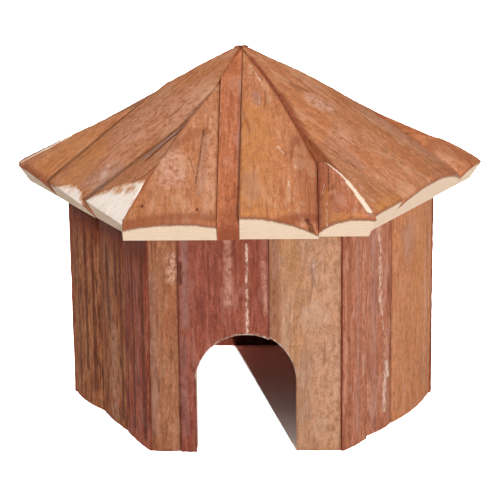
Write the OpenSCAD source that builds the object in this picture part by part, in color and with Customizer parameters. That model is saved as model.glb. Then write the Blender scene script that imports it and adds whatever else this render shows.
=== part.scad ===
// Small six-sided hideout for a pet, made of bark-faced slab boards.
// Six walls of three upright boards carry six roof panels that are mitred at the hips.
// The origin is the middle of the footprint on the ground. The doorway faces -Y and +Z is up.

/* [Walls] */
// Distance from the middle to the outside corners of the walls
wall_r = 95; // [84:1:102]
// Thickness of a wall board of plain size
wall_t = 9; // [7:0.5:12]

/* [Doorway] */
// Width of the doorway
door_w = 49; // [40:1:56]
// Height of the doorway's straight sides, up to where the arch begins
door_side_h = 37; // [25:1:50]

/* [Roof] */
// Slope of the roof panels, in degrees from level
roof_slope = 30.5; // [24:0.5:36]
// How far the lower corners of the eaves reach out past the corners of the walls
eave_overhang = 18; // [12:1:26]
// Height of the lower edge of the eaves
eave_h = 117; // [100:1:135]
// Thickness of a roof board of plain size
roof_t = 10.5; // [9:0.5:14]
// How far the peak sits to the left of the middle
peak_shift = 3.8; // [0:0.2:6]
// How far the roof sits turned on the walls, in degrees
roof_turn = 0.9; // [0:0.1:2]
// How far the blunt peak stands above the peak of the undersides
peak_rise = 12.4; // [12:0.2:16]
// Radius of the rounded nose where bark wraps over the end of the narrow front strip
nose_r = 7; // [4:0.5:8]

/* [Flaked patches on the front left eave] */
// How deep the large patch is at the corner
large_flake_drop = 4; // [2:0.5:6]
// How much steeper than the roof the large patch falls, in degrees
large_flake_pitch = 8; // [7:0.5:12]
// How deep the small patch is at the eave, in the middle of its board
small_flake_drop = 1; // [0.5:0.25:2]
// How much steeper than the roof the small patch falls, in degrees
small_flake_pitch = 10; // [8:0.5:14]

/* [Hidden] */

SIDES = 6;
SIDE_ANGLE = 360 / SIDES;
HALF_ANGLE = SIDE_ANGLE / 2;
// Segments in a full circle: a bark face is a short piece of a wide one
ARC_FN = 240;
// How far cutting shapes run past what they cut
PAST = 20;
// More than any board is thick
THICKEST = 40;

// Seams between a wall's boards, from the wall's middle, one pair for each wall from the front round
WALL_SEAMS = [
    [-32.5, 11.5],
    [-27, -3],
    [-12, 19],
    [-18, 14],
    [-15, 21],
    [-14, 18]
];
// What each wall board has more than plain size: left edge, right edge, and the crown between them
WALL_BARK = [
    [[0, 0.3, 1], [1.4, 1.4, 1], [-1.3, -1.4, 0.6]],
    [[0.2, 2.8, 0.6], [0.2, 3, 1], [3.2, -0.5, 2.2]],
    [[0.5, 1.5, 1.2], [0.4, 2, 1.5], [2.4, 0, 1.6]],
    [[0, 1.2, 1.4], [2, 1, 1.2], [1.8, 0.3, 1]],
    [[0.4, 2.2, 0.8], [1, 1.6, 1.8], [0.4, 0, 1.2]],
    [[-1, -2.2, 2], [-2.2, -0.9, 1.2], [-0.6, 1, 0.8]]
];
WALL_COLORS = [
    ["peru", "indianred", "tan"],
    ["indianred", "rosybrown", "peru"],
    ["peru", "sienna", "tan"],
    ["sienna", "peru", "indianred"],
    ["tan", "sienna", "peru"],
    ["sienna", "saddlebrown", "brown"]
];

// Seams between a roof panel's boards, from the panel's middle, one list for each panel
ROOF_SEAMS = [
    [-13.8, -3.1, 34],
    [-31, 40],
    [-22, 20],
    [-16, 25],
    [-24, 21],
    [-21, 23]
];
// How far past a panel's plain corners its outer boards run before a square cut: left, right.
// PAST leaves the mitre whole.
ROOF_TRIMS = [
    [-1.6, PAST],
    [PAST, -1.1],
    [PAST, PAST],
    [PAST, PAST],
    [PAST, PAST],
    [PAST, PAST]
];
// What each roof board has more than plain size at the eave: left edge, right edge and crown.
// Then its reach past the eave, how much thinner it is at the peak, and how far its crest drifts
// to the right on the way up.
ROOF_BARK = [
    [
        [-2, 0.5, 3, 4, 3, 0], [1, 1, 0.5, 4, 1.5, 0],
        [6, -6.5, 3.5, 3.5, 6, 0], [-5, 2.5, 3.5, 2, 1, 0]
    ],
    [[2.5, 4, 0.5, 0, 13, 0], [-0.5, -3, 8, 0, 6, 5], [-2.5, 1, 2.5, 0, -2, 0]],
    [[1, -2, 1.5, 0, 2, 0], [-0.5, -1, 3, 0, 2, 0], [0.5, 1, 1.5, 0, 1.5, 0]],
    [[1, -0.5, 2, 4.5, 1.5, 0], [-1, -1, 3.5, 5, 1.5, 0], [1, 0, 1.5, 4.5, 1.5, 0]],
    [[0, 1, 1.5, 0, 0, 0], [0, 1, 4, 0, 1.5, 0], [1, 2, 1, 0, 5, 0]],
    [[1, -8, 3, 0.5, -3, 12], [0, -6.5, 2, 0.5, -4, 0], [1, 1.5, 1, 0, 2.5, 0]]
];
ROOF_COLORS = [
    ["peru", "indianred", "tan", "peru"],
    ["peru", "tan", "peru"],
    ["tan", "peru", "sienna"],
    ["peru", "sienna", "tan"],
    ["sienna", "tan", "peru"],
    ["peru", "tan", "peru"]
];

eave_r = wall_r + eave_overhang;
wall_ap = wall_r * cos(HALF_ANGLE);
wall_in = wall_ap - wall_t;
eave_ap = eave_r * cos(HALF_ANGLE);
roof_run = eave_ap / cos(roof_slope);
// Half the width of a roof panel at its upper eave edge
roof_half_w = (eave_ap + roof_t * sin(roof_slope)) * tan(HALF_ANGLE);

// Height of a panel's underside at a distance out from the middle
function under_z(out) = eave_h + (eave_ap - out) * tan(roof_slope);

// The peak as seen in the frame of one side
function peak_at(side) = peak_shift * [-cos(SIDE_ANGLE * side), sin(SIDE_ANGLE * side)];

// Edge of board n among boards split at the seams, with the outer ends at -/+ half_w
function board_edge(seams, n, half_w) = n < 0 ? -half_w : n < len(seams) ? seams[n] : half_w;

// Where board n is cut, left and right: at its seams, or a trim past half_w where it is an outer board
function board_cuts(seams, n, half_w, trims) = [
    n == 0 ? -half_w - trims[0] : seams[n - 1],
    n == len(seams) ? half_w + trims[1] : seams[n]
];

// The circle that a slab board's bark face follows, with the board's flat back on the X axis.
// At the board's left edge it is plain_t + bark[0] up, at its right edge plain_t + bark[1], and
// between them it rises by bark[2].
module bark_circle(seams, n, half_w, plain_t, bark) {
    left = [board_edge(seams, n - 1, half_w), plain_t + bark[0]];
    right = [board_edge(seams, n, half_w), plain_t + bark[1]];
    crown = bark[2];
    chord = norm(right - left);
    bark_r = (chord * chord / 4 + crown * crown) / (2 * crown);
    outward = [left[1] - right[1], right[0] - left[0]] / chord;
    translate((left + right) / 2 + outward * (crown - bark_r))
        circle(bark_r, $fn = ARC_FN);
}

// The sector of the plan that belongs to the front side, from a point near the middle
// out through both corners of a hexagon
module sector(from, corner_r) {
    left = corner_r * [-sin(HALF_ANGLE), -cos(HALF_ANGLE)];
    right = corner_r * [sin(HALF_ANGLE), -cos(HALF_ANGLE)];
    polygon([from, from + 2 * (left - from), from + 2 * (right - from)]);
}

// The space under the front roof panel, as wide as the house
module under_roof() {
    near = wall_in - PAST;
    far = wall_ap + PAST;
    rotate(roof_turn)
        rotate([90, 0, -90])
            linear_extrude(2 * eave_r, center = true)
                polygon([[near, -PAST], [far, -PAST], [far, under_z(far)], [near, under_z(near)]]);
}

// Section of wall board n, with its back on the X axis
module wall_board_section(seams, n, bark) {
    cuts = board_cuts(seams, n, wall_r / 2, [PAST, PAST]);
    intersection() {
        bark_circle(seams, n, wall_r / 2, wall_t, bark);
        translate([cuts[0], 0])
            square([cuts[1] - cuts[0], THICKEST]);
    }
}

// One upright wall board, bevelled on top to seat under its roof panel
module wall_board(side, n) {
    color(WALL_COLORS[side][n])
        rotate(SIDE_ANGLE * side)
            intersection() {
                linear_extrude(under_z(0))
                    intersection() {
                        translate([0, -wall_in])
                            mirror([0, 1])
                                wall_board_section(WALL_SEAMS[side], n, WALL_BARK[side][n]);
                        sector([0, 0], wall_r);
                    }
                under_roof();
            }
}

// The arched doorway, cut right through the front wall
module doorway() {
    rotate([90, 0, 0])
        linear_extrude(2 * wall_r) {
            translate([-door_w / 2, -PAST])
                square([door_w, door_side_h + PAST]);
            translate([0, door_side_h])
                circle(d = door_w, $fn = ARC_FN);
        }
}

module front_wall_board(n) {
    difference() {
        wall_board(0, n);
        color(WALL_COLORS[0][n])
            doorway();
    }
}

// Places a shape made in a roof panel's own frame: X along the eave, Y up through the bark and
// Z down the slope from the peak of the undersides
module on_roof(side) {
    rotate(SIDE_ANGLE * side + roof_turn)
        translate([0, 0, under_z(0)])
            rotate([90 + roof_slope, 0, 0])
                children();
}

// The sawn blank of a roof board: flat on its back and square at the eave, under bark that
// follows a log whose axis sinks and drifts aside towards the peak
module roof_blank(seams, n, bark, trims) {
    cuts = board_cuts(seams, n, roof_half_w, trims);
    intersection() {
        translate([cuts[0], 0, -PAST])
            cube([cuts[1] - cuts[0], THICKEST, PAST + roof_run + bark[3]]);
        translate([0, 0, roof_run])
            rotate([-atan(bark[4] / roof_run), -atan(bark[5] / roof_run), 0])
                linear_extrude(3 * roof_run, center = true)
                    bark_circle(seams, n, roof_half_w, roof_t, bark);
    }
}

// One roof board, running from the peak down to its eave and mitred at the hips
module roof_board(side, n) {
    color(ROOF_COLORS[side][n])
        intersection() {
            on_roof(side)
                roof_blank(ROOF_SEAMS[side], n, ROOF_BARK[side][n], ROOF_TRIMS[side]);
            rotate(SIDE_ANGLE * side + roof_turn)
                linear_extrude(under_z(0) + peak_rise)
                    sector(peak_at(side), eave_r);
        }
}

// The narrow strip of the front panel: its bark wraps over the lower end in a rounded nose
module front_roof_strip() {
    nose_t = roof_t + ROOF_BARK[0][1][0] + ROOF_BARK[0][1][2];
    end = roof_run + ROOF_BARK[0][1][3];
    intersection() {
        roof_board(0, 1);
        color(ROOF_COLORS[0][1])
            on_roof(0)
                rotate([0, -90, 0])
                    linear_extrude(2 * eave_r, center = true) {
                        translate([-PAST, -PAST])
                            square([PAST + end - nose_r, PAST + 2 * nose_t]);
                        translate([end - nose_r, -PAST])
                            square([nose_r, PAST + nose_t - nose_r]);
                        translate([end - nose_r, nose_t - nose_r])
                            circle(nose_r, $fn = ARC_FN);
                    }
    }
}

// Front left roof board n with a patch on its eave where the bark has flaked off. The patch is a
// plane through the given point of the eave's end. It falls to the right by roll and down the
// slope by pitch.
module flaked_roof_board(n, point, roll, pitch) {
    difference() {
        roof_board(5, n);
        color("wheat")
            on_roof(5)
                translate([point[0], point[1], roof_run])
                    rotate([pitch, 0, -roll])
                        translate([-eave_r, 0, -eave_r])
                            cube([2 * eave_r, THICKEST, 2 * eave_r]);
    }
}

// The middle board's patch lies level with its bark and cuts off the top of its crown
module front_left_roof_middle() {
    seams = ROOF_SEAMS[5];
    bark = ROOF_BARK[5][1];
    middle = [(seams[0] + seams[1]) / 2, roof_t + (bark[0] + bark[1]) / 2 + bark[2]];
    roll = atan((bark[0] - bark[1]) / (seams[1] - seams[0]));
    flaked_roof_board(1, middle - [0, small_flake_drop], roll, small_flake_pitch);
}

// The right board's patch starts at its left edge and gets deeper towards the corner
module front_left_roof_right() {
    left = [ROOF_SEAMS[5][1], roof_t + ROOF_BARK[5][2][0]];
    roll = atan(large_flake_drop / (roof_half_w - left[0]));
    flaked_roof_board(2, left, roll, large_flake_pitch);
}

front_wall_board(0);  // front_wall_left
front_wall_board(1);  // front_wall_middle
front_wall_board(2);  // front_wall_right
wall_board(1, 0);  // front_right_wall_left
wall_board(1, 1);  // front_right_wall_middle
wall_board(1, 2);  // front_right_wall_right
wall_board(2, 0);  // back_right_wall_left
wall_board(2, 1);  // back_right_wall_middle
wall_board(2, 2);  // back_right_wall_right
wall_board(3, 0);  // back_wall_left
wall_board(3, 1);  // back_wall_middle
wall_board(3, 2);  // back_wall_right
wall_board(4, 0);  // back_left_wall_left
wall_board(4, 1);  // back_left_wall_middle
wall_board(4, 2);  // back_left_wall_right
wall_board(5, 0);  // front_left_wall_left
wall_board(5, 1);  // front_left_wall_middle
wall_board(5, 2);  // front_left_wall_right
roof_board(0, 0);  // front_roof_outer_left
front_roof_strip();
roof_board(0, 2);  // front_roof_crown
roof_board(0, 3);  // front_roof_outer_right
roof_board(1, 0);  // front_right_roof_left
roof_board(1, 1);  // front_right_roof_middle
roof_board(1, 2);  // front_right_roof_right
roof_board(2, 0);  // back_right_roof_left
roof_board(2, 1);  // back_right_roof_middle
roof_board(2, 2);  // back_right_roof_right
roof_board(3, 0);  // back_roof_left
roof_board(3, 1);  // back_roof_middle
roof_board(3, 2);  // back_roof_right
roof_board(4, 0);  // back_left_roof_left
roof_board(4, 1);  // back_left_roof_middle
roof_board(4, 2);  // back_left_roof_right
roof_board(5, 0);  // front_left_roof_left
front_left_roof_middle();
front_left_roof_right();
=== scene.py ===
"""Six-sided hideout for a small pet, made of bark-faced slab boards.

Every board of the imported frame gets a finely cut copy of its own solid. Its bark face is
carved with fibres, cracks and worn edges, and its sawn faces stay flat. All carving goes
inwards, so that no board grows past its solid. Lengths are in millimetres unless a name or
a docstring says otherwise.
"""

import math

import bmesh
import bpy
import numpy as np
from mathutils import Matrix, Vector, kdtree

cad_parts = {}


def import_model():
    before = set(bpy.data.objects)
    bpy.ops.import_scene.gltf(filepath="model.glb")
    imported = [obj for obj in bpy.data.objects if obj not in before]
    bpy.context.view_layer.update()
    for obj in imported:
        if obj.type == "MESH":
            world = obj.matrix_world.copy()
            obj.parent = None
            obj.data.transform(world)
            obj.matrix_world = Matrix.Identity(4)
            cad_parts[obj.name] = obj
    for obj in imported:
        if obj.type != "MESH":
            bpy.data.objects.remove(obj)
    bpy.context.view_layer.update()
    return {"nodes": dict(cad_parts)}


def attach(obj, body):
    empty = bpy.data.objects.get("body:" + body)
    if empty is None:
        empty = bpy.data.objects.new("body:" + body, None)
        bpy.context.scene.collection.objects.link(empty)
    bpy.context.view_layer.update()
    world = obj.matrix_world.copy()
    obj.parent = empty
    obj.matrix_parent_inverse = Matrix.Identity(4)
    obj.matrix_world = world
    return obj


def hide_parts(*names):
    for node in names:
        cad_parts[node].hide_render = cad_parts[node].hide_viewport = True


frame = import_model()

METRE = 1000.0

# ---------------------------------------------------------------- the boards' own frames

SIDES = ("front", "front_right", "back_right", "back", "back_left", "front_left")

# Axes of a board's own frame
ACROSS, OUT, DOWN = range(3)

# What each face of a board is
BACK, BARK, FLAKED, CUT, SAWN_EDGE, MITRE = range(6)
# The kinds that are carved and shaded smoothly
SOFT = {BARK, FLAKED}

# The narrow strip has bark over its lower end too
WRAPPED_BOARD = "front_roof_strip"
# Boards whose mitre shows fresh wood. The mitres of all others have gone brown.
FRESH_MITRES = ("back_left_roof_right",)
# The least share of a face's normal that points inwards on the back, sideways on a seam's sawn
# edge, sideways and inwards on a mitre, and outwards on bark or torn wood
BACK_IN = 0.9
EDGE_ACROSS = 0.95
MITRE_ACROSS = 0.5
MITRE_IN = 0.1
BARK_OUT = 0.3
# Bark leans less than this up the board, and a flaked patch leans more than this down it
BARK_LEAN = 0.16
FLAKE_LEAN = 0.08
# The bark over the wrapped end looks up the board less than this
WRAP_UP = 0.3
# Side faces of roof boards further out than this are square cuts at the corners, not seams
TRIMMED_FROM = 55
# Faces that turn less than this are one flat face
FLAT_ANGLE = math.radians(0.2)
WELD = 0.001

# Spacing of the bark's points, across and along the grain
ACROSS_STEP = 0.5
ALONG_STEP = 1.2


def is_roof(node):
    return "_roof_" in node


def side_of(node):
    return SIDES.index(node.replace("_roof_", "_wall_").split("_wall_")[0])


def board_matrix(node):
    """World metres to the board's own millimetres: X right, Y out through the bark and Z down
    the board, from the middle of its side, the level of its back and its lower end."""
    turn = math.radians(360 / len(SIDES) * side_of(node))
    look = Vector((0, 0, 1)) if is_roof(node) else Vector((math.sin(turn), -math.cos(turn), 0))
    mesh = frame["nodes"][node].data
    out = -min((face.normal for face in mesh.polygons), key=look.dot)
    down = (out * out.z - Vector((0, 0, 1))).normalized()
    axes = Matrix((out.cross(down), out, down))
    corners = [axes @ vert.co for vert in mesh.vertices]
    origin = Vector((0, min(c.y for c in corners), max(c.z for c in corners)))
    return Matrix.Scale(METRE, 4) @ Matrix.Translation(-origin) @ axes.to_4x4()


def kind_of(face, node, ends):
    """Tells a board's faces apart by the way they look in the board's own frame. The ends are
    how far the board reaches to the left and to the right."""
    across, out, down = face.normal
    middle = face.calc_center_median()
    at_end = min(abs(middle.x - end) for end in ends) < WELD
    if out < -BACK_IN:
        return BACK
    if abs(across) > EDGE_ACROSS and abs(middle.x) < TRIMMED_FROM and at_end:
        return SAWN_EDGE
    if abs(across) > MITRE_ACROSS and out < -MITRE_IN:
        return CUT if node in FRESH_MITRES else MITRE
    if node == WRAPPED_BOARD and abs(across) < MITRE_ACROSS and down > -WRAP_UP:
        return BARK
    if is_roof(node) and down > FLAKE_LEAN and out > BARK_OUT:
        return FLAKED
    if out > BARK_OUT and abs(down) < BARK_LEAN:
        return BARK
    return CUT


# ---------------------------------------------------------------- cutting a board finely

def even_places(low, high, step):
    """Places between low and high, no further apart than step."""
    count = max(1, math.ceil((high - low) / step))
    return [low + (high - low) * n / count for n in range(1, count)]


def across_places(bm):
    """Where to cut across the grain: evenly between the lines that the bark already has. Lines
    within a third of a step of each other count as one."""
    found = sorted(vert.co.x for vert in bm.verts)
    lines = found[:1]
    for x in found[1:]:
        if x - lines[-1] > ACROSS_STEP / 3:
            lines.append(x)
    places = list(lines[1:-1])
    for low, high in zip(lines, lines[1:]):
        places += even_places(low, high, ACROSS_STEP)
    return sorted(places)


def slice_faces(bm, faces, axis, places):
    """Cuts faces by parallel planes, from low to high. What lies below a cut is done with."""
    normal = Vector([float(n == axis) for n in range(3)])
    for place in places:
        edges = {edge for face in faces for edge in face.edges}
        verts = {vert for face in faces for vert in face.verts}
        cut = bmesh.ops.bisect_plane(
            bm, geom=list(faces) + list(edges) + list(verts),
            plane_co=normal * place, plane_no=normal, dist=WELD,
        )
        faces = [
            part for part in cut["geom"]
            if isinstance(part, bmesh.types.BMFace) and part.calc_center_median()[axis] > place
        ]
        if not faces:
            return


def cut_finely(node):
    """A copy of the board's solid in its own frame, with fine bark and edges on flat backs."""
    bm = bmesh.new()
    bm.from_mesh(frame["nodes"][node].data)
    bm.transform(board_matrix(node))
    bmesh.ops.remove_doubles(bm, verts=bm.verts, dist=WELD)
    bmesh.ops.dissolve_limit(bm, angle_limit=FLAT_ANGLE, verts=bm.verts, edges=bm.edges)
    kind = bm.faces.layers.int.new("kind")
    bm.normal_update()
    places = [vert.co.x for vert in bm.verts]
    for face in bm.faces:
        face[kind] = kind_of(face, node, (min(places), max(places)))
    bark_x = across_places(bm)
    slice_faces(bm, [f for f in bm.faces if f[kind] in (BARK, FLAKED, CUT)], ACROSS, bark_x)
    depths = [vert.co.z for vert in bm.verts]
    bark_z = even_places(min(depths), max(depths), ALONG_STEP)
    slice_faces(bm, [f for f in bm.faces if f[kind] != BACK], DOWN, bark_z)
    return bm, kind


# ---------------------------------------------------------------- marks on the bark

# Pale fibres, lighter bark, dark cracks, grey weathering, golden tone, rusty brown and torn
# wood. Some marks stand for light and shade: light marks beside two seams of the front left
# roof are painted light over a board's shadow, rust and dark marks under the front left eave
# are painted shade, and those along the hip between the front and front right roofs are partly
# painted shade. A mark runs between two places, each given by how far it lies to the right of
# the middle of the board's side and how far above the board's lower end. Then come half its
# width and how strongly it covers, from 0 to 1.
MARK_KINDS = ("pale", "light", "dark", "grey", "golden", "rust_and_shade", "torn")
MARKS = {
    "front_wall_left": [
        ("light", (-35, 100), (-35, 90), 3, 0.8), ("pale", (-35, 100), (-35, 92), 1, 0.3),
        ("dark", (-36, 70), (-37, 20), 1, 0.3), ("dark", (-41, 100), (-41, 30), 1, 0.3),
        ("grey", (-45, 90), (-45, 10), 2, 0.3),
    ],
    "front_wall_middle": [
        ("grey", (-29, 108), (-29, 66), 2, 0.45), ("grey", (-30, 60), (-30, 10), 2, 0.3),
        ("dark", (-31, 98), (-31, 88), 1, 0.6), ("dark", (-24, 112), (-25, 70), 1, 0.3),
        ("dark", (-16, 112), (-18, 84), 2, 0.2), ("rust_and_shade", (-3, 110), (4, 84), 4, 0.4),
        ("light", (-8, 112), (-8, 78), 2, 0.5), ("pale", (-8, 100), (-8, 84), 1, 0.2),
        ("pale", (1, 108), (1, 62), 0.7, 0.45), ("light", (1, 106), (1, 64), 1, 0.5),
        ("light", (9, 100), (10, 72), 1, 0.5), ("pale", (9, 96), (10, 82), 0.5, 0.3),
    ],
    "front_wall_right": [
        ("dark", (14, 112), (14, 66), 1, 0.3), ("dark", (20, 100), (20, 66), 1, 0.25),
        ("rust_and_shade", (14, 110), (15, 30), 3, 0.5), ("light", (40, 100), (40, 10), 8, 0.4),
        ("grey", (33, 99), (33, 86), 1, 0.6), ("pale", (33, 99), (33, 94), 1, 0.3),
        ("grey", (29, 50), (29, 18), 3, 0.3),
    ],
    "front_right_wall_left": [
        ("grey", (-36, 110), (-36, 5), 2, 0.3), ("dark", (-43, 110), (-43, 5), 2, 0.35),
        ("light", (-31, 100), (-31, 30), 1, 0.4),
    ],
    "front_right_wall_middle": [
        ("pale", (-15, 104), (-14, 69), 1.3, 0.4), ("light", (-15, 106), (-13, 60), 2, 0.6),
        ("pale", (-13, 66), (-11, 53), 1, 0.35), ("light", (-8, 50), (-10, 12), 3, 0.6),
        ("pale", (-8, 35), (-7, 28), 2, 0.6), ("pale", (-10, 30), (-10, 10), 1.8, 0.5),
        ("dark", (-6, 95), (-4, 2), 1, 0.4), ("grey", (-20, 110), (-19, 5), 3, 0.35),
    ],
    "front_right_wall_right": [
        ("grey", (12, 98), (14, 88), 6, 0.35), ("dark", (37, 96), (38, 72), 1, 0.5),
        ("grey", (40, 90), (39, 80), 1, 0.8), ("golden", (30, 90), (30, 40), 12, 0.3),
        ("pale", (42, 70), (42, 12), 0.5, 0.4), ("light", (36, 80), (36, 10), 3, 0.5),
    ],
    # The first rust mark and the first dark mark on each of the three front left walls are painted shade
    # under the eave.
    "front_left_wall_left": [
        ("rust_and_shade", (-58, 106), (-18, 106), 14, 1), ("dark", (-58, 108), (-18, 108), 12, 0.6),
        ("dark", (-27, 112), (-27, 20), 1.6, 0.6), ("dark", (-36, 112), (-36, 10), 1.6, 0.5),
        ("dark", (-20, 112), (-20, 10), 1.6, 0.6), ("dark", (-44, 100), (-44, 40), 1.6, 0.45),
    ],
    "front_left_wall_middle": [
        ("rust_and_shade", (-20, 106), (20, 106), 14, 1), ("dark", (-20, 108), (20, 108), 12, 0.6),
        ("dark", (9, 108), (9, 72), 2, 0.7), ("dark", (-2, 92), (-1, 55), 2.2, 0.7),
        ("light", (3, 100), (3, 60), 1, 0.4), ("light", (5, 50), (4, 6), 4, 0.6),
        ("dark", (-8, 100), (-8, 30), 1.4, 0.4), ("dark", (14, 112), (14, 6), 1.6, 0.6),
    ],
    "front_left_wall_right": [
        ("rust_and_shade", (18, 106), (58, 106), 14, 1), ("dark", (18, 108), (58, 108), 12, 0.6),
        ("dark", (31, 108), (31, 8), 1.8, 0.65), ("dark", (26, 100), (26, 40), 1.4, 0.5),
        ("grey", (37, 100), (37, 6), 2, 0.3), ("dark", (43, 112), (43, 6), 2.4, 0.6),
        ("dark", (22, 112), (22, 6), 1.6, 0.5), ("dark", (50, 100), (50, 20), 2, 0.45),
    ],
    "front_roof_outer_left": [
        ("light", (-37, 44), (-35, 30), 7, 0.9), ("light", (-17, 75), (-18, 6), 3, 0.4),
        ("grey", (-21, 60), (-22, 20), 2, 0.3), ("light", (-25, 66), (-25, 54), 3, 0.2),
        ("dark", (-49, 13), (-49, 12), 0.8, 0.8), ("dark", (-23, 9), (-23, 8), 0.8, 0.8),
        ("dark", (-28, 45), (-24, 30), 0.6, 0.4), ("rust_and_shade", (-54, 2), (-16, 4), 3, 0.6),
        ("dark", (-44, 30), (-34, 27), 0.5, 0.4), ("dark", (-21, 66), (-24, 26), 0.6, 0.5),
        ("rust_and_shade", (-24, 62), (-40, 48), 3, 0.4),
    ],
    "front_roof_strip": [
        ("grey", (-4, 100), (-4, 30), 1, 0.3), ("rust_and_shade", (-8, -4), (-8, 3), 6, 0.5),
        ("dark", (-5, 18), (-9, 14), 0.5, 0.5), ("dark", (-4, 24), (-6, 20), 0.5, 0.4),
    ],
    "front_roof_crown": [
        ("golden", (0, 70), (0, 0), 14, 0.6), ("golden", (6, 8), (18, 4), 6, 0.4),
        ("grey", (4, 88), (5, 80), 2, 0.5), ("pale", (6, 84), (5, 78), 0.8, 0.3),
        ("pale", (15, 50), (18, 46), 0.5, 0.6), ("pale", (23, 41), (24, 38), 0.6, 0.5),
        ("pale", (20, 28), (20, 25), 0.5, 0.5), ("grey", (2, 26), (3, 15), 4, 0.35),
        ("rust_and_shade", (26, 60), (30, 10), 4, 0.35), ("dark", (29, 5), (32, -3), 2, 0.6),
        ("rust_and_shade", (33, 10), (16, -1), 3, 0.7), ("pale", (1, 109), (6, 98), 0.4, 0.6),
    ],
    "front_roof_outer_right": [
        ("dark", (39, 46), (39, 21), 0.6, 0.5), ("pale", (37, 27), (36, 22), 0.5, 0.5),
        ("pale", (38, 14), (38, -2), 0.5, 0.35), ("golden", (39, 2), (54, -1), 3, 0.8),
        ("golden", (38, 22), (38, 2), 2, 0.6),
        ("grey", (56, 8), (58, 3), 2, 0.5), ("torn", (37, 44), (48, 24), 0.5, 0.7),
        ("torn", (48, 24), (53, 15), 1.1, 1), ("torn", (53, 15), (58, 5), 1.7, 1),
    ],
    # The rust marks near the hip on this board and the next, and the dark line beside them, are partly the
    # bark's brown edge and partly painted shade along the hip.
    "front_right_roof_left": [
        ("rust_and_shade", (-34, 55), (-48, 26), 2, 0.8), ("golden", (-52, 3), (-34, 2), 3, 0.8),
        ("dark", (-36, 24), (-44, 8), 0.5, 0.4), ("light", (-42, 26), (-50, 8), 2, 0.4),
    ],
    "front_right_roof_middle": [
        ("light", (-5, 74), (-3, 66), 5, 0.9), ("pale", (-5, 72), (-4, 68), 3, 0.2),
        ("light", (-17, 50), (-17, 45), 4, 0.5), ("dark", (-14, 42), (-22, 8), 0.4, 0.3),
        ("dark", (-20, 32), (-27, 5), 0.4, 0.3), ("rust_and_shade", (-6, 113), (-18, 86), 1.6, 0.9),
        ("rust_and_shade", (-18, 86), (-32, 57), 3, 0.95), ("dark", (-8, 106), (-31, 60), 0.6, 0.45),
        ("dark", (-27, 50), (-28, 20), 0.5, 0.4), ("grey", (-24, 48), (-26, 30), 4, 0.3),
        ("light", (36, 44), (34, 10), 0.8, 0.8), ("rust_and_shade", (30, 2), (8, 4), 2, 0.4),
        ("light", (24, 50), (26, 16), 8, 0.4),
    ],
    "front_right_roof_right": [
        ("rust_and_shade", (44, 22), (50, 4), 4, 0.5), ("light", (42, 20), (42, 6), 1, 0.3),
    ],
    "front_left_roof_left": [
        ("golden", (-34, 30), (-40, 10), 8, 0.5), ("torn", (-58, 3), (-50, 18), 1.3, 1),
        ("torn", (-50, 18), (-45, 28), 0.7, 0.9),
        # The light mark below is painted light over the shadow that the higher middle board casts beside
        # the seam.
        ("rust_and_shade", (-52, 1), (-24, 1), 2, 0.6), ("light", (-23, 75), (-23, 4), 2, 0.7),
    ],
    "front_left_roof_middle": [
        ("light", (6, 26), (9, 14), 6, 0.6), ("pale", (6, 25), (9, 15), 3, 0.25),
        # The narrow light mark below, beside the seam on the right, is painted light over a board's shadow.
        ("light", (10, 80), (-4, 46), 14, 0.45), ("light", (21, 36), (21, 4), 1.5, 0.6),
        ("grey", (10, 24), (4, 12), 5, 0.35), ("golden", (-14, 26), (-6, 8), 8, 0.6),
        ("grey", (20, 70), (22, 40), 2, 0.8), ("pale", (21, 62), (22, 48), 0.6, 0.4),
        ("dark", (18, 20), (6, 2), 0.6, 0.4), ("grey", (12, 16), (16, 4), 3, 0.5),
    ],
    "front_left_roof_right": [
        ("grey", (24, 68), (26, 36), 2, 0.8), ("dark", (26, 62), (30, 34), 0.8, 0.8),
        ("pale", (24, 60), (25, 50), 0.5, 0.4), ("dark", (38, 24), (44, 16), 0.6, 0.5),
        ("golden", (36, 13), (49, 18), 3, 0.9), ("golden", (50, 18), (56, 8), 1.6, 0.8),
    ],
}


# ---------------------------------------------------------------- carving the bark

# The bark's relief: how deep each pattern goes, its size across and along the grain, and its
# own seed. From the top they are swells, lumps, ridges and fibres.
RELIEF = (
    (0.22, (14, 60), 1),
    (0.1, (5, 16), 9),
    (0.08, (2.1, 9), 2),
    (0.06, (1.1, 3.2), 3),
)
# How far the grain wanders aside, and the size of its bends
WANDER = 1.6
BEND = (16, 30)
# Cracks run on long lines and show in stretches of them
CRACK_DEPTH = 0.35
CRACK_LINE = (5, 120)
CRACK_STRETCH = (4, 17)
# Where their noises start to show and where they show in full
LINE_SHOWS = (0.09, 0.02)
STRETCH_SHOWS = (0.25, 0.5)
# Thin plates have come off the bark, with finely broken borders
PLATE_DEPTH = 0.12
PLATE = (5, 14)
PLATE_BORDER = (1.8, 4)
PLATE_BROKEN = 0.5
PLATE_SHOWS = (0.5, 0.66)
# Bark wears away along its edges: how far in, how deep, how much that changes, and over what size
WORN = 0.7
WORN_DEPTH = 0.3
WORN_CHANGE = 0.2
WORN_SPOT = (2.5, 2.5)

# At how many times its half width a mark is gone, and how steeply it rises from there
MARK_REACH = 1.35
MARK_RISE = 1.6

# Planes whose normals share more than this are one plane
SAME_PLANE = 0.99
# A point stays where it is if its way in points inwards less than this
LEAST_IN = 0.3
# How little a cut that is square to the board leans, and how much the arch looks down
SQUARE_CUT = 0.02
ARCH_DOWN = 0.1
# Width of the bare wood along the arris of the doorway's arch
ARRIS = 0.9
# The arch is further above a wall board's foot than this
ARCH_FROM = 20
# How far up the slope the bark rolls over at an eave, and how deep
ROLL_REACH = 1.3
ROLL_DEPTH = 0.8
# Boards whose bark rolls down to a lower neighbour: the seam's place, how far in, and how deep
ROLLED_SEAMS = {"front_right_roof_right": (40, 5.0, 2.6), "front_roof_outer_right": (34, 2.5, 1.2)}
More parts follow.
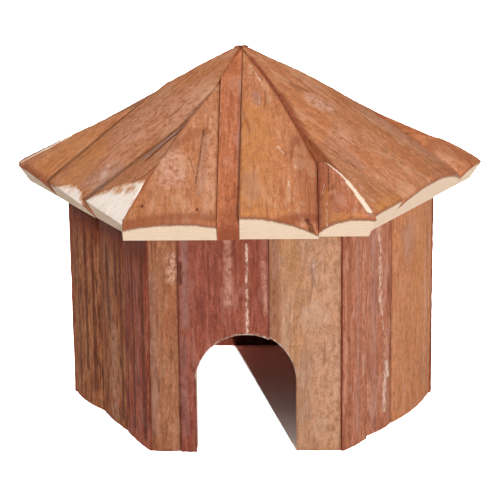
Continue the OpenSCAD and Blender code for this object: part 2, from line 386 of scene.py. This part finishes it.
# Seams where the bark runs on without a worn dip and a band of painted shade, by the places
# of the seams
QUIET_SEAMS = {
    "front_left_roof_left": (-21,), "front_left_roof_middle": (-21,), "front_roof_strip": (-13.8, -3.1),
}
# Outline pieces this near to a seam's place are on it
SEAM_NEAR = 1.0
# Half the gap that is left at a seam between boards, and the least that its points look sideways
SEAM_GAP = 0.12
SEAM_ACROSS = 0.1
# Points on torn wood count as this deep under the bark, so that cut ends have no brown rim there
TORN_DEPTH = 4.0
# How far bark still covers a flaked patch from its border
GROWN_BACK = {"front_left_roof_middle": 2.0}
# Further than anything on a board that is drawn by its distance
FAR = 99.0
# How far apart two boards lie in the noise that paints them
GRAIN_STEP = np.array((37.0, 0, 91.0))

# Large odd numbers that scatter the noise, and the bits of it that are kept
SCATTER = (374761393, 668265263, 974634777, 1274126177)
ALL_BITS = 0xFFFFFFFF
LAST_BITS = 0xFFFF
# Points whose distances are worked out at one time
BLOCK = 1000
TINY = 1e-9


def smooth(part):
    """A soft rise from 0 to 1."""
    return part * part * (3 - 2 * part)


def noise(across, along, seed):
    """Smooth random heights from -1 to 1, one for each unit square."""
    left, top = np.floor(across), np.floor(along)
    right_share, low_share = smooth(across - left), smooth(along - top)

    def corner(right, down):
        key = (left + right).astype(np.int64) * SCATTER[0] + (top + down).astype(np.int64) * SCATTER[1]
        key = (key + seed * SCATTER[2]) & ALL_BITS
        key = ((key ^ (key >> 13)) * SCATTER[3]) & ALL_BITS
        return ((key ^ (key >> 16)) & LAST_BITS) / (LAST_BITS / 2) - 1

    upper = corner(0, 0) * (1 - right_share) + corner(1, 0) * right_share
    lower = corner(0, 1) * (1 - right_share) + corner(1, 1) * right_share
    return upper * (1 - low_share) + lower * low_share


def pattern(x, z, size, seed):
    """Noise with blotches of a size across and along the grain."""
    return noise(x / size[0], z / size[1], seed)


def ramp(values, low, high):
    """0 below low and 1 above high, with a smooth rise between them. It falls if low is above."""
    return smooth(np.clip((values - low) / (high - low), 0, 1))


def outline_distance(points, pieces):
    """How far each point is from the nearest of some straight pieces, and FAR if there are none."""
    if not pieces:
        return np.full(len(points), FAR)
    starts, ends = np.array(pieces).swapaxes(0, 1)
    run = ends - starts
    length2 = np.maximum((run * run).sum(1), TINY)
    nearest = []
    for block in np.array_split(points, max(1, len(points) // BLOCK)):
        away = block[:, None] - starts[None]
        share = np.clip((away * run).sum(2) / length2, 0, 1)
        gap = away - share[..., None] * run
        nearest.append(np.sqrt((gap * gap).sum(2).min(1)))
    return np.concatenate(nearest)


def carve(x, z, edge, seed):
    """How deep the bark is carved at each point, and where it is cracked or a plate is off."""
    bent = x + WANDER * pattern(x, z, BEND, seed)
    sunk = sum(depth * (1 + pattern(bent, z, size, seed + own)) for depth, size, own in RELIEF)
    line = ramp(np.abs(pattern(bent, z, CRACK_LINE, seed + 4)), *LINE_SHOWS)
    crack = line * ramp(pattern(bent, z, CRACK_STRETCH, seed + 5), *STRETCH_SHOWS)
    plate = pattern(bent, z, PLATE, seed + 6) + PLATE_BROKEN * pattern(bent, z, PLATE_BORDER, seed + 7)
    plate = ramp(plate, *PLATE_SHOWS)
    edge_band = np.exp(-edge / WORN) * (WORN_DEPTH + WORN_CHANGE * pattern(x, z, WORN_SPOT, seed + 8))
    return sunk + CRACK_DEPTH * crack + PLATE_DEPTH * plate + edge_band, crack, plate


def mark_shares(node, x, z):
    """How strongly each kind of mark covers each point of a board's bark."""
    shares = {kind: np.zeros(len(x)) for kind in MARK_KINDS}
    for kind, start, end, half_width, strength in MARKS.get(node, []):
        run = np.array(end, float) - start
        along = ((x - start[0]) * run[0] + (-z - start[1]) * run[1]) / max(run @ run, TINY)
        along = np.clip(along, 0, 1)
        away = np.hypot(x - start[0] - along * run[0], -z - start[1] - along * run[1])
        share = strength * np.clip(MARK_RISE * (1 - away / (MARK_REACH * half_width)), 0, 1)
        shares[kind] = np.maximum(shares[kind], share)
    return shares


def sink_way(vert, kind):
    """Which way a bark point sinks: straight in, but along the sawn faces that it borders."""
    planes = []
    for face in vert.link_faces:
        if face[kind] not in SOFT and all(face.normal.dot(p) < SAME_PLANE for p in planes):
            planes.append(face.normal.copy())
    out = Vector((0, 1, 0))
    if len(planes) == 1:
        out -= planes[0] * planes[0].y
    elif planes:
        out = planes[0].cross(planes[1])
    if abs(out.y) < LEAST_IN or len(planes) > 2:
        return Vector((0, 0, 0))
    return out / out.y


def is_arch(edge, kind):
    """Whether an edge of the bark is on the doorway's arch."""
    cuts = [face.normal for face in edge.link_faces if face[kind] == CUT]
    is_high = edge.verts[0].co.z < -ARCH_FROM
    return is_high and any(abs(cut.y) < SQUARE_CUT and cut.z > ARCH_DOWN for cut in cuts)


def is_near(piece, place):
    """Whether a piece of a board's outline is on the seam at a place."""
    return all(abs(x - place) < SEAM_NEAR for x, z in piece)


def is_quiet(node, piece):
    """Whether a piece of a board's outline is on a seam without a dark line."""
    return any(is_near(piece, place) for place in QUIET_SEAMS.get(node, ()))


def spread(values, where):
    """Puts the values of some points among zeros for all the others."""
    every = np.zeros(len(where))
    every[where] = values
    return every


def bark_depth(co, soft):
    """How far below the bark each point of a sawn face lies."""
    tops = kdtree.KDTree(int(soft.sum()))
    for n, (x, y, z) in enumerate(co[soft]):
        tops.insert((x, 0, z), n)
    tops.balance()
    top_y = co[soft, OUT]
    depth = np.zeros(len(co))
    for n in np.nonzero(~soft)[0]:
        depth[n] = top_y[tops.find((co[n, ACROSS], 0, co[n, DOWN]))[1]] - co[n, OUT]
    return depth


def bark_points(bm, kind):
    """Which points are on bark or torn wood and which on torn wood alone, the way that each of
    them sinks, and the way from each seam's sawn edge into its board."""
    count = len(bm.verts)
    soft = np.zeros(count, bool)
    torn = np.zeros(count, bool)
    ways = np.zeros((count, 3))
    gaps = np.zeros(count)
    for vert in bm.verts:
        kinds = {face[kind] for face in vert.link_faces}
        if not kinds & SOFT:
            continue
        soft[vert.index] = True
        torn[vert.index] = BARK not in kinds
        ways[vert.index] = (0, 1, 0) if kinds <= SOFT else sink_way(vert, kind)
        if SAWN_EDGE in kinds:
            gaps[vert.index] = -sum(f.normal.x for f in vert.link_faces if f[kind] == SAWN_EDGE)
    return soft, torn, ways, gaps


def bark_lines(bm, kind, node):
    """The straight pieces of the bark's outline, of the arch and of the seams in it, and of the
    border between bark and torn wood, each by X and Z of its ends."""
    outline, arris, seam, border = [], [], [], []
    for edge in bm.edges:
        kinds = {face[kind] for face in edge.link_faces}
        piece = [(vert.co.x, vert.co.z) for vert in edge.verts]
        if kinds & SOFT and kinds - SOFT:
            outline.append(piece)
            if not is_roof(node) and is_arch(edge, kind):
                arris.append(piece)
            if SAWN_EDGE in kinds:
                seam.append(piece)
        if kinds == SOFT:
            border.append(piece)
    return outline, arris, seam, border


def carved_bark(node, plan, torn, lines, seed):
    """How deep each point of the bark is carved, and the facts that its finish is drawn from."""
    outline, arris, seam, border = lines
    x, z = plan.T
    edge = outline_distance(plan, [piece for piece in outline if not is_quiet(node, piece)])
    sunk, crack, plate = carve(x, z, edge, seed)
    facts = {"crack": crack, "plate": plate, "edge": edge} | mark_shares(node, x, z)
    facts["arris"] = ramp(outline_distance(plan, arris), ARRIS, 0)
    facts["flake"] = np.where(torn, 1, -1) * outline_distance(plan, border) - GROWN_BACK.get(node, 0)
    if is_roof(node) and node != WRAPPED_BOARD:
        sunk += ROLL_DEPTH * np.exp(-(z.max() - z) / ROLL_REACH) * (facts["flake"] < 0)
    if node in ROLLED_SEAMS:
        place, reach, depth = ROLLED_SEAMS[node]
        rolled = outline_distance(plan, [piece for piece in seam if is_near(piece, place)])
        sunk += depth * np.exp(-rolled / reach)
    return sunk, facts


def set_surfaces(bm, kind, flake):
    """Gives each face its material, with bark on torn wood that it still covers, and tells
    smooth faces and edges from flat and sharp ones."""
    for edge in bm.edges:
        edge.smooth = len({face[kind] for face in edge.link_faces}) == 1
    for face in bm.faces:
        grown = face[kind] == FLAKED and all(flake[vert.index] < 0 for vert in face.verts)
        face.smooth = face[kind] in SOFT
        face.material_index = BARK if grown else face[kind]


def slab_mesh(bm, node, facts, grain):
    """The board's mesh, back in its place, with its facts and its places in the grain."""
    bm.transform(board_matrix(node).inverted())
    mesh = bpy.data.meshes.new(node + "_slab")
    bm.to_mesh(mesh)
    bm.free()
    for name, values in facts.items():
        mesh.attributes.new(name, "FLOAT", "POINT").data.foreach_set("value", values.astype(np.float32))
    carried = mesh.attributes.new("grain", "FLOAT_VECTOR", "POINT")
    carried.data.foreach_set("vector", grain.astype(np.float32).ravel())
    return mesh


def carved_board(node, seed):
    """The finished mesh of a board, with the facts that its finishes are drawn from."""
    bm, kind = cut_finely(node)
    bm.normal_update()
    bm.verts.index_update()
    co = np.array([vert.co for vert in bm.verts])
    soft, torn, ways, gaps = bark_points(bm, kind)
    plan = co[soft][:, (ACROSS, DOWN)]
    sunk, facts = carved_bark(node, plan, torn[soft], bark_lines(bm, kind, node), seed)
    facts = {name: spread(values, soft) for name, values in facts.items()}
    facts["depth"] = bark_depth(co, soft)
    facts["depth"][torn] = TORN_DEPTH
    moved = co.copy()
    moved[soft] -= ways[soft] * sunk[:, None]
    moved[:, ACROSS] += np.sign(gaps) * SEAM_GAP * (np.abs(gaps) > SEAM_ACROSS)
    for vert, place in zip(bm.verts, moved):
        vert.co = place
    set_surfaces(bm, kind, facts["flake"])
    return slab_mesh(bm, node, facts, co + GRAIN_STEP * seed)


# ---------------------------------------------------------------- materials

# Dry wood barely shines
WOOD_SHEEN = 0.1
# Nearly all of a noise's values lie between these
NOISE_LOW = 0.34
NOISE_HIGH = 0.66

# How far each pattern of a finish stands out
MOTTLE_HEIGHT = 0.25
FIBRE_HEIGHT = 0.2
CUT_HEIGHT = 0.15
TORN_HEIGHT = 0.3
SAWN_HEIGHT = 0.2

# How far torn wood's border swings, and how soft it is
BORDER_SWING = 5.0
BORDER_SOFT = 0.3
# How far the stain beside the bark, the dark band of wear and painted shade at the bark's
# edges, and the brown rim of a cut end swing
STAIN_SWING = 6.0
EDGE_SWING = 2.4
RIM_SWING = 3.2
# Thickness of a layer in the cut ends, and how far the layers bend
LAYER = 1.3
LAYER_BEND = 1.2
# How much the bark's patterns break up a dark or pale mark, and fray a sliver of torn wood
MARK_GRIT = 1.3
SLIVER_FRAY = 0.6

# Colours of the marks, and of torn wood where it shows through bark
GOLDEN = "#c98549"
LIGHT = "#d3a088"
GREY = "#937a76"
RUST_AND_SHADE_BROWN = "#83402a"
CRACK = "#572b1e"
FIBRE = "#e4c6b3"
TORN = "#f6dcc4"


def srgb(hex_colour):
    """A linear colour from an sRGB hex value."""
    parts = [int(hex_colour[n:n + 2], 16) / 255 for n in (1, 3, 5)]
    return [p / 12.92 if p <= 0.04045 else ((p + 0.055) / 1.055) ** 2.4 for p in parts] + [1.0]


def add(tree, kind, inputs=None, **settings):
    """Adds a node with its settings. An input is a value, a node or one of a node's sockets."""
    node = tree.nodes.new("ShaderNode" + kind)
    for name, value in settings.items():
        setattr(node, name, value)
    for name, value in (inputs or {}).items():
        socket = node.inputs[name]
        if isinstance(value, bpy.types.Node):
            value = value.outputs[0]
        if isinstance(value, bpy.types.NodeSocket):
            tree.links.new(value, socket)
        else:
            socket.default_value = value
    return node


def new_material(name):
    material = bpy.data.materials.new(name)
    material.use_nodes = True
    material.node_tree.nodes.clear()
    return material, material.node_tree


def fact(tree, name):
    """One of the facts that the boards' meshes carry."""
    return add(tree, "Attribute", attribute_name=name).outputs["Fac"]


def grain_noise(tree, across, along, through=None, detail=3, roughness=0.55, distortion=0):
    """Noise stretched along the grain: its blotches are across mm wide and along mm long, and
    as deep as wide unless through says otherwise."""
    grain = add(tree, "Attribute", attribute_name="grain").outputs["Vector"]
    scale = (1 / across, 1 / (through or across), 1 / along)
    stretched = add(tree, "VectorMath", {0: grain, 1: scale}, operation="MULTIPLY")
    return add(tree, "TexNoise", {
        "Vector": stretched, "Scale": 1, "Detail": detail, "Roughness": roughness, "Distortion": distortion,
    })


def painted(tree, under, over, drawn, low, high, most=1):
    """Paints one colour over another by a pattern: not at all where it is low, and most where
    it is high."""
    share = add(tree, "MapRange", {"Value": drawn, "From Min": low, "From Max": high, "To Max": most})
    return add(tree, "MixRGB", {"Fac": share, "Color1": under, "Color2": over})


def shaded(tree, colour, drawn, swing):
    """Makes a colour lighter and darker with a noise, by the swing at most."""
    shade = add(tree, "MapRange", {
        "Value": drawn, "From Min": NOISE_LOW, "From Max": NOISE_HIGH,
        "To Min": 1 - swing, "To Max": 1 + swing,
    })
    return add(tree, "MixRGB", {"Fac": 1, "Color1": colour, "Color2": shade}, blend_type="MULTIPLY")


def patchy(tree, share, drawn, low, high, least=0):
    """Thins out a share by a pattern: down to least where it is low, and not where it is high."""
    kept = add(tree, "MapRange", {"Value": drawn, "From Min": low, "From Max": high, "To Min": least})
    return add(tree, "Math", {0: share, 1: kept}, operation="MULTIPLY")


def frayed(tree, value, drawn, swing):
    """Moves a value up and down with a noise, by half the swing each way."""
    moved = add(tree, "Math", {0: drawn, 1: swing, 2: -swing / 2}, operation="MULTIPLY_ADD")
    return add(tree, "Math", {0: value, 1: moved}, operation="ADD")


def finish(tree, colour, roughness, height):
    """The shader of a dry, matt wood surface. Height is in mm."""
    bump = add(tree, "Bump", {"Height": height, "Strength": 1, "Distance": 1 / METRE})
    shader = add(tree, "BsdfPrincipled", {
        "Base Color": colour, "Roughness": roughness, "Specular IOR Level": WOOD_SHEEN, "Normal": bump,
    })
    add(tree, "OutputMaterial", {"Surface": shader})


def bark_material(name, body, warm, dark, pale, streaky):
    """Dry bark that has been peeled to its rough inner layer: stippled, patchy and fibrous."""
    material, tree = new_material(name)
    # Real fibres and grit are finer. They are drawn as coarse as they have to be to show.
    tone = grain_noise(tree, across=13, along=30)
    streak = grain_noise(tree, across=1.7, along=16, detail=5, roughness=0.65, distortion=0.2)
    fibre = grain_noise(tree, across=0.6, along=3.2, detail=4, roughness=0.75)
    mottle = grain_noise(tree, across=2.4, along=3.4, detail=6, roughness=0.75)
    stipple = grain_noise(tree, across=0.8, along=1.0, roughness=0.8)
    speck = grain_noise(tree, across=0.9, along=1.5, detail=2)
    colour = srgb(body)
    for over, drawn, low, high, most in (
        (warm, tone, 0.4, 0.6, 1),
        (pale, streak, 0.53, 0.66, 0.75 * streaky),
        (dark, streak, 0.49, 0.4, streaky),
        (pale, speck, 0.66, 0.74, 0.5),
        (dark, speck, 0.33, 0.25, 0.5),
    ):
        colour = painted(tree, colour, srgb(over), drawn, low, high, most)
    for drawn, swing in ((fibre, 0.5 * streaky), (mottle, 0.2), (stipple, 0.16)):
        colour = shaded(tree, colour, drawn, swing)
    colour = painted(tree, colour, srgb(pale), fact(tree, "plate"), 0, 1, most=0.3)
    colour = marked(tree, colour, fibre, mottle, srgb(dark))
    for share in (torn_share(tree), torn_sliver(tree, fibre)):
        colour = add(tree, "MixRGB", {"Fac": share, "Color1": colour, "Color2": srgb(TORN)})
    fibres = add(tree, "Math", {0: fibre, 1: FIBRE_HEIGHT}, operation="MULTIPLY")
    height = add(tree, "Math", {0: mottle, 1: MOTTLE_HEIGHT, 2: fibres}, operation="MULTIPLY_ADD")
    roughness = add(tree, "MapRange", {
        "Value": fibre, "From Min": 0.3, "From Max": 0.7, "To Min": 0.95, "To Max": 0.75,
    })
    finish(tree, colour, roughness, height)
    return material


def torn_share(tree):
    """Where torn wood shows: in the flaked patches, out to a ragged border."""
    ragged = grain_noise(tree, across=1.6, along=3.5, detail=4, roughness=0.7)
    inside = frayed(tree, fact(tree, "flake"), ragged, BORDER_SWING)
    return add(tree, "MapRange", {"Value": inside, "From Min": -BORDER_SOFT, "From Max": BORDER_SOFT})


def torn_sliver(tree, fibre):
    """Where a mark of torn wood shows, with a slightly frayed edge."""
    sliver = frayed(tree, fact(tree, "torn"), fibre, SLIVER_FRAY)
    return add(tree, "MapRange", {"Value": sliver, "From Min": 0.25, "From Max": 0.4})


def broken_mark(tree, name, grit):
    """Where a dark or pale mark shows, broken up by the grit of the bark under it."""
    own = fact(tree, name)
    gritty = add(tree, "Math", {0: own, 1: grit}, operation="ADD")
    covered = add(tree, "MapRange", {"Value": gritty, "From Min": 0.3, "From Max": 0.6, "To Max": 0.9})
    return patchy(tree, covered, own, 0.05, 0.2)


def marked(tree, colour, fibre, mottle, dark):
    """Paints a board's own marks, cracks and edges over its bark. The edges are darkened by wear
    and by painted shade, and some marks are painted light and some painted shade.
    """
    grit = add(tree, "Math", {0: fibre, 1: MARK_GRIT, 2: -MARK_GRIT}, operation="MULTIPLY_ADD")
    grit = add(tree, "Math", {0: mottle, 1: MARK_GRIT, 2: grit}, operation="MULTIPLY_ADD")
    edge_band = add(tree, "Math", {0: mottle, 1: EDGE_SWING, 2: fact(tree, "edge")}, operation="MULTIPLY_ADD")
    # Golden, light and grey marks. A few light marks are painted light over a board's shadow beside a seam.
    for name, over, low, high, least in (
        ("golden", GOLDEN, 0.3, 0.6, 0), ("light", LIGHT, 0.42, 0.56, 0), ("grey", GREY, 0.35, 0.6, 0.2),
    ):
        share = patchy(tree, fact(tree, name), mottle, low, high, least)
        colour = add(tree, "MixRGB", {"Fac": share, "Color1": colour, "Color2": srgb(over)})
    # A dark band along the bark's outline and seams: partly worn bark, partly painted shade where boards
    # meet and edges turn away.
    colour = painted(tree, colour, dark, edge_band, 2.6, 1.4, most=0.5)
    # Rust marks. Under the front left eave and along a hip they are painted shade.
    rust_and_shade_share = patchy(tree, fact(tree, "rust_and_shade"), mottle, 0.3, 0.55, least=0.5)
    colour = add(tree, "MixRGB", {"Fac": rust_and_shade_share, "Color1": colour, "Color2": srgb(RUST_AND_SHADE_BROWN)})
    colour = painted(tree, colour, dark, fact(tree, "crack"), 0, 1, most=0.6)
    bare = patchy(tree, fact(tree, "arris"), mottle, 0.4, 0.55)
    for share, over in (
        (broken_mark(tree, "dark", grit), CRACK), (broken_mark(tree, "pale", grit), FIBRE), (bare, FIBRE),
    ):
        colour = add(tree, "MixRGB", {"Fac": share, "Color1": colour, "Color2": srgb(over)})
    return colour


def cut_material(name, body, line, rim):
    """Fresh pale wood with fine layers that follow the bark, under a rim of brown inner bark."""
    material, tree = new_material(name)
    depth = fact(tree, "depth")
    bend = grain_noise(tree, across=3, along=3)
    ragged = grain_noise(tree, across=0.9, along=0.9, detail=4, roughness=0.7)
    rough = grain_noise(tree, across=7, along=7, through=0.45, detail=5, roughness=0.5)
    layers = add(tree, "Math", {0: bend, 1: LAYER_BEND, 2: depth}, operation="MULTIPLY_ADD")
    turns = add(tree, "Math", {0: layers, 1: 2 * math.pi / LAYER}, operation="MULTIPLY")
    wave = add(tree, "Math", {0: turns}, operation="SINE")
    skin = add(tree, "Math", {0: ragged, 1: RIM_SWING, 2: depth}, operation="MULTIPLY_ADD")
    colour = painted(tree, srgb(body), srgb(line), wave, -0.2, 1, most=0.5)
    colour = painted(tree, colour, srgb(line), rough, 0.52, 0.7, most=0.6)
    colour = painted(tree, colour, srgb(rim), skin, 4.0, 2.6, most=0.9)
    height = add(tree, "Math", {0: rough, 1: CUT_HEIGHT}, operation="MULTIPLY")
    finish(tree, colour, roughness=0.8, height=height)
    return material


def torn_material(name, body, line, stain, bark):
    """Torn pale wood with splintered fibres, stained orange towards the bark beside it."""
    material, tree = new_material(name)
    fibre = grain_noise(tree, across=0.7, along=6, detail=4)
    patch = grain_noise(tree, across=3, along=6, detail=4)
    inside = add(tree, "Math", {0: patch, 1: STAIN_SWING, 2: fact(tree, "flake")}, operation="MULTIPLY_ADD")
    beside = add(tree, "MapRange", {"Value": inside, "From Min": 5.0, "From Max": 3.2, "To Max": 0.85})
    golden = patchy(tree, fact(tree, "golden"), patch, 0.4, 0.55)
    stained = add(tree, "Math", {0: beside, 1: golden}, operation="MAXIMUM")
    colour = painted(tree, srgb(body), srgb(line), fibre, 0.45, 0.65, most=0.4)
    colour = add(tree, "MixRGB", {"Fac": stained, "Color1": colour, "Color2": srgb(stain)})
    colour = add(tree, "MixRGB", {"Fac": torn_share(tree), "Color1": srgb(bark), "Color2": colour})
    height = add(tree, "Math", {0: fibre, 1: TORN_HEIGHT}, operation="MULTIPLY")
    finish(tree, colour, roughness=0.85, height=height)
    return material


def plain_wood(name, body, line):
    """Rough sawn wood that has gone brown: dull, with long faint streaks."""
    material, tree = new_material(name)
    streaks = grain_noise(tree, across=2.5, along=40, detail=4)
    colour = painted(tree, srgb(body), srgb(line), streaks, 0.35, 0.65)
    height = add(tree, "Math", {0: streaks, 1: SAWN_HEIGHT}, operation="MULTIPLY")
    finish(tree, colour, roughness=0.85, height=height)
    return material


# Each bark's main tone, second tone, dark streaks, pale streaks, and how streaky it is
BARKS = {
    "golden_bark": ("#a26a4c", "#9b5f41", "#6a3e2a", "#b88a6c", 0.45),
    "red_bark": ("#8e4c3c", "#924e3c", "#602e28", "#b07868", 0.45),
    "tan_bark": ("#b68769", "#b4815c", "#8e5e42", "#d0ac94", 0.28),
    "rose_bark": ("#b47458", "#ae6a4e", "#804636", "#d2a08a", 0.5),
    "orange_bark": ("#c0805a", "#c07e55", "#965638", "#d49c7c", 0.3),
    "plum_bark": ("#b05e42", "#a24c38", "#481e18", "#b88068", 0.85),
    "brown_bark": ("#b2704a", "#a45e3c", "#4c281c", "#bc8a64", 0.85),
    "roof_bark": ("#bc7e5a", "#b8744c", "#8a4e30", "#d8a684", 0.3),
    "strip_bark": ("#b86d4a", "#bc704a", "#884428", "#d0957a", 0.42),
    "crown_bark": ("#bf7c56", "#bd7850", "#8e5034", "#dcae8c", 0.36),
    "pink_bark": ("#bd7a5a", "#b46c4c", "#864632", "#d8a28a", 0.28),
}

# The bark of each board. Other roof boards have roof bark, and other walls golden bark.
LOOKS = {
    "front_wall_left": "golden_bark", "front_wall_middle": "red_bark", "front_wall_right": "tan_bark",
    "front_right_wall_left": "rose_bark", "front_right_wall_middle": "rose_bark",
    "front_right_wall_right": "orange_bark",
    "front_left_wall_right": "plum_bark", "front_left_wall_middle": "brown_bark",
    "front_left_wall_left": "brown_bark",
    "front_roof_strip": "strip_bark", "front_roof_crown": "crown_bark",
    "front_roof_outer_right": "pink_bark", "back_roof_middle": "crown_bark",
    "back_left_roof_left": "pink_bark", "back_right_roof_right": "strip_bark",
    "back_wall_middle": "red_bark", "back_right_wall_middle": "tan_bark",
    "back_left_wall_middle": "plum_bark", "back_wall_left": "brown_bark",
    "back_right_wall_right": "rose_bark", "back_left_wall_left": "orange_bark",
}

barks = {name: bark_material(name, *tones) for name, tones in BARKS.items()}
fresh_cut = cut_material("fresh_cut_wood", "#f5dbc2", "#debb96", "#8a4a28")
torn_wood = torn_material("torn_wood", "#fdeee2", "#eccdb2", "#c98a55", "#a8683f")
sawn_edge = plain_wood("browned_sawn_edge", "#a0684a", "#7a4630")
browned_mitre = plain_wood("browned_mitre", "#b8774f", "#9a5a3a")
sawn_back = plain_wood("browned_sawn_back", "#9c523e", "#743626")


def dress(node, seed):
    """Puts a board's finished mesh in place of its solid."""
    mesh = carved_board(node, seed)
    bark = barks[LOOKS.get(node, "roof_bark" if is_roof(node) else "golden_bark")]
    mitre = browned_mitre if is_roof(node) else sawn_back
    for material in (sawn_back, bark, torn_wood, fresh_cut, sawn_edge, mitre):
        mesh.materials.append(material)
    piece = bpy.data.objects.new(node + "_slab", mesh)
    bpy.context.scene.collection.objects.link(piece)
    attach(piece, "root")
    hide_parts(node)


for seed, node in enumerate(sorted(frame["nodes"]), 1):
    dress(node, seed)


# ---------------------------------------------------------------- floor, lights and camera

# How pale the floor is as it lights the object, and how bright it is where it is seen
PAPER = (0.5, 0.5, 0.5, 1)
PAPER_SEEN = (7, 7, 7, 1)
# Half the floor's side, in metres, and how far it lies below the boards' feet
FLOOR_HALF_METRES = 6.0
FLOOR_BELOW = 0.05
# How bright the white world is as a light
WORLD_LIGHT = 0.09
# How high above the floor the lamps aim
LAMP_AIM = 90

# The camera's sensor, lens and place, and how far it turns left, looks down and rolls, in degrees
SENSOR = 36
LENS = 153.6
CAMERA_PLACE = (37.53, -1058.7, 404.5)
TURN_LEFT = 2.06
LOOK_DOWN = 17.07
ROLL = -0.609


def seen_share(tree):
    """1 where the camera sees a surface, straight or by way of gloss or glass, and else 0."""
    rays = add(tree, "LightPath").outputs
    seen = {0: rays["Is Camera Ray"], 1: rays["Is Glossy Ray"]}
    seen = {0: add(tree, "Math", seen, operation="MAXIMUM"), 1: rays["Is Transmission Ray"]}
    return add(tree, "Math", seen, operation="MAXIMUM")


def floor():
    """White paper. To the camera it is bright enough to be the white background."""
    material, tree = new_material("white_paper")
    shade = add(tree, "MixRGB", {"Fac": seen_share(tree), "Color1": PAPER, "Color2": PAPER_SEEN})
    add(tree, "OutputMaterial", {"Surface": add(tree, "BsdfDiffuse", {"Color": shade})})
    mesh = bpy.data.meshes.new("floor")
    half = FLOOR_HALF_METRES
    corners = [(-half, -half, 0), (half, -half, 0), (half, half, 0), (-half, half, 0)]
    mesh.from_pydata(corners, [], [(0, 1, 2, 3)])
    mesh.materials.append(material)
    piece = bpy.data.objects.new("floor", mesh)
    piece.location.z = -FLOOR_BELOW / METRE
    bpy.context.scene.collection.objects.link(piece)


def lamp(name, azimuth, elevation, distance, size, power):
    """A square lamp that looks at the middle of the object. Azimuth goes from the front to the
    right, in degrees. Distance and size are in metres, and power is in watts."""
    turn, rise = math.radians(azimuth), math.radians(elevation)
    way = Vector((math.sin(turn) * math.cos(rise), -math.cos(turn) * math.cos(rise), math.sin(rise)))
    light = bpy.data.lights.new(name, "AREA")
    light.size = size
    light.energy = power
    piece = bpy.data.objects.new(name, light)
    piece.location = way * distance + Vector((0, 0, LAMP_AIM / METRE))
    piece.rotation_euler = way.to_track_quat("Z", "Y").to_euler()
    bpy.context.scene.collection.objects.link(piece)


def world():
    """A dim white world, which is plain white where it is seen."""
    scene = bpy.context.scene
    scene.world = bpy.data.worlds.new("studio")
    scene.world.use_nodes = True
    tree = scene.world.node_tree
    tree.nodes.clear()
    strength = add(tree, "MapRange", {"Value": seen_share(tree), "To Min": WORLD_LIGHT})
    back = add(tree, "Background", {"Color": (1, 1, 1, 1), "Strength": strength})
    add(tree, "OutputWorld", {"Surface": back})


def camera():
    """Looks at the front of the object from above and a little from the right."""
    data = bpy.data.cameras.new("camera")
    data.sensor_width = SENSOR
    data.lens = LENS
    piece = bpy.data.objects.new("camera", data)
    turns = ((TURN_LEFT, "Z"), (90 - LOOK_DOWN, "X"), (ROLL, "Z"))
    left, down, roll = [Matrix.Rotation(math.radians(angle), 4, axis) for angle, axis in turns]
    piece.matrix_world = Matrix.Translation(Vector(CAMERA_PLACE) / METRE) @ (left @ down @ roll)
    bpy.context.scene.collection.objects.link(piece)
    bpy.context.scene.camera = piece


floor()
lamp("key", azimuth=13.5, elevation=13, distance=2.5, size=0.03, power=49)
lamp("overhead", azimuth=-100, elevation=75, distance=2.2, size=1.2, power=24)
lamp("right", azimuth=62, elevation=24, distance=2.4, size=0.9, power=9)
world()
camera()
bpy.context.scene.view_settings.view_transform = "Standard"
